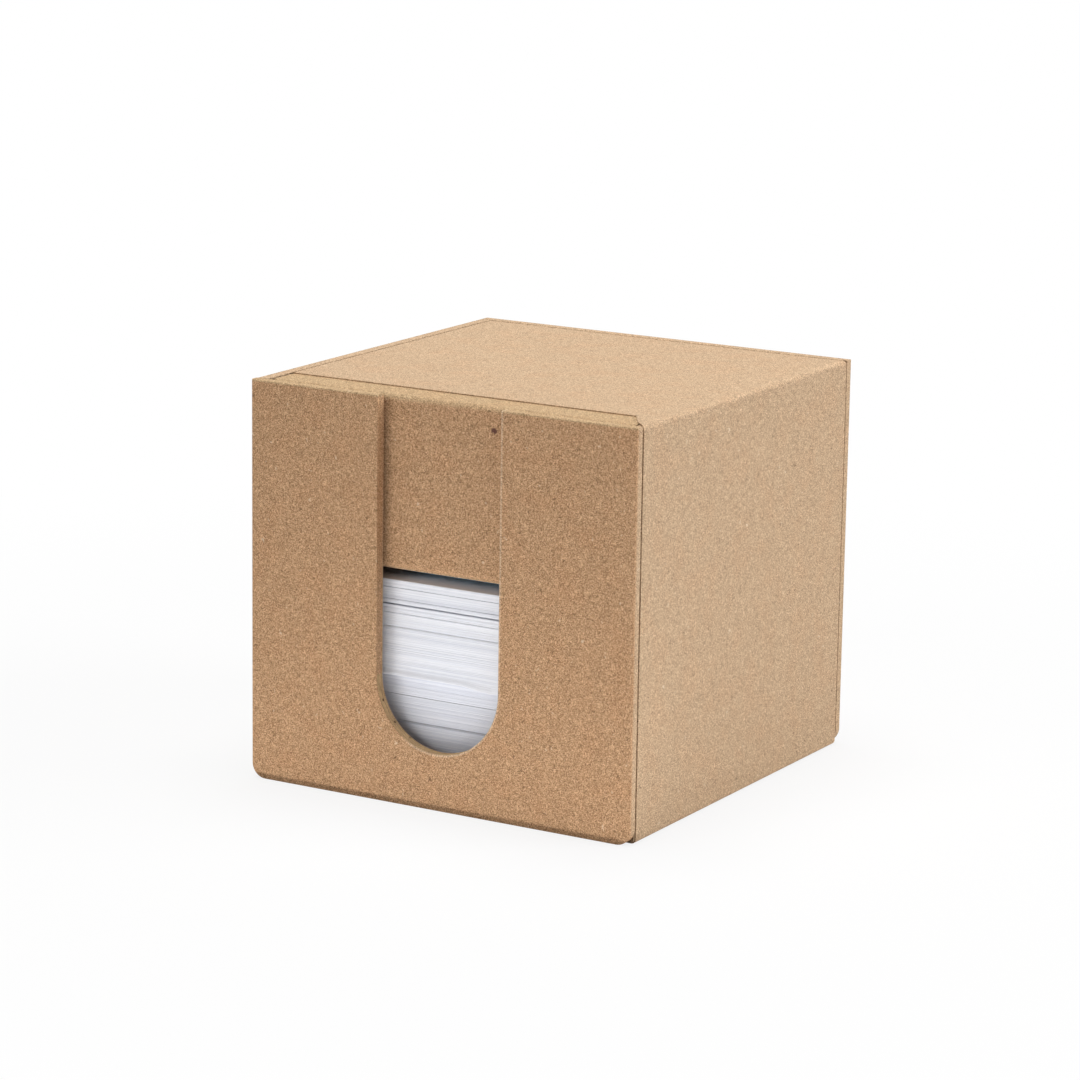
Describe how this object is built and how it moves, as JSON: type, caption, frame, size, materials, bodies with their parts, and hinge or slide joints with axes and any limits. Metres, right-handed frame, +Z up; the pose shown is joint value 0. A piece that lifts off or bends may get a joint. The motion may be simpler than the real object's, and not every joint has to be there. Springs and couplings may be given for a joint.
{
  "type": "memo cube holder",
  "caption": "Kraft-covered memo cube: a box of loose notes with a finger cut, and a pen box as its lid that swings over on a paper fold to stand beside it with sticky flags on show.",
  "frame": {"origin": "centre of the closed cube's underside, on the desk", "axes": "+Z up, -Y out of the front wall with the finger cut, +X towards the side with the paper fold, where the open pen box stands"},
  "size_m": [0.0858, 0.0876, 0.08],
  "materials": {
    "kraft_paper": "matt natural kraft with fine fibres and flecks",
    "greyboard": "raw cut board",
    "note_paper": "plain white",
    "flag_card": "pale translucent film",
    "flag_blue": "satin film flags",
    "flag_green": "satin film flags",
    "flag_yellow": "satin film flags",
    "flag_pink": "satin film flags",
    "flag_peach": "satin film flags"
  },
  "bodies": {
    "base": {"bottom_board": "greyboard", "front_board": "greyboard", "back_board": "greyboard", "left_board": "greyboard", "right_board": "greyboard", "front_sheet": "kraft_paper", "back_sheet": "kraft_paper", "left_sheet": "kraft_paper", "bottom_sheet": "kraft_paper", "right_sheet": "kraft_paper", "right_rim_sheet": "kraft_paper", "base_lining": "kraft_paper", "hinge_fold": "kraft_paper", "note_block_1": "note_paper", "note_block_2": "note_paper", "note_block_3": "note_paper", "note_block_4": "note_paper", "note_block_5": "note_paper"},
    "pen_box": {"lid_board": "greyboard", "flag_face_board": "greyboard", "slanted_end_board": "greyboard", "pen_front_board": "greyboard", "pen_back_board": "greyboard", "pen_front_sheet": "kraft_paper", "pen_back_sheet": "kraft_paper", "lid_sheet": "kraft_paper", "flag_face_sheet": "kraft_paper", "pen_lining": "kraft_paper", "flag_card": "flag_card", "flag_pad_blue": "flag_blue", "flag_pad_green": "flag_green", "flag_pad_yellow": "flag_yellow", "flag_pad_pink": "flag_pink", "flag_pad_peach": "flag_peach"}
  },
  "joints": [
    {"name": "lid_fold", "type": "hinge", "parent": "base", "child": "pen_box", "pos_m": [0.04118, 0, 0.08203], "axis": [0, 1, 0], "range_deg": [0, 270], "deforming": ["hinge_fold"]}
  ]
}
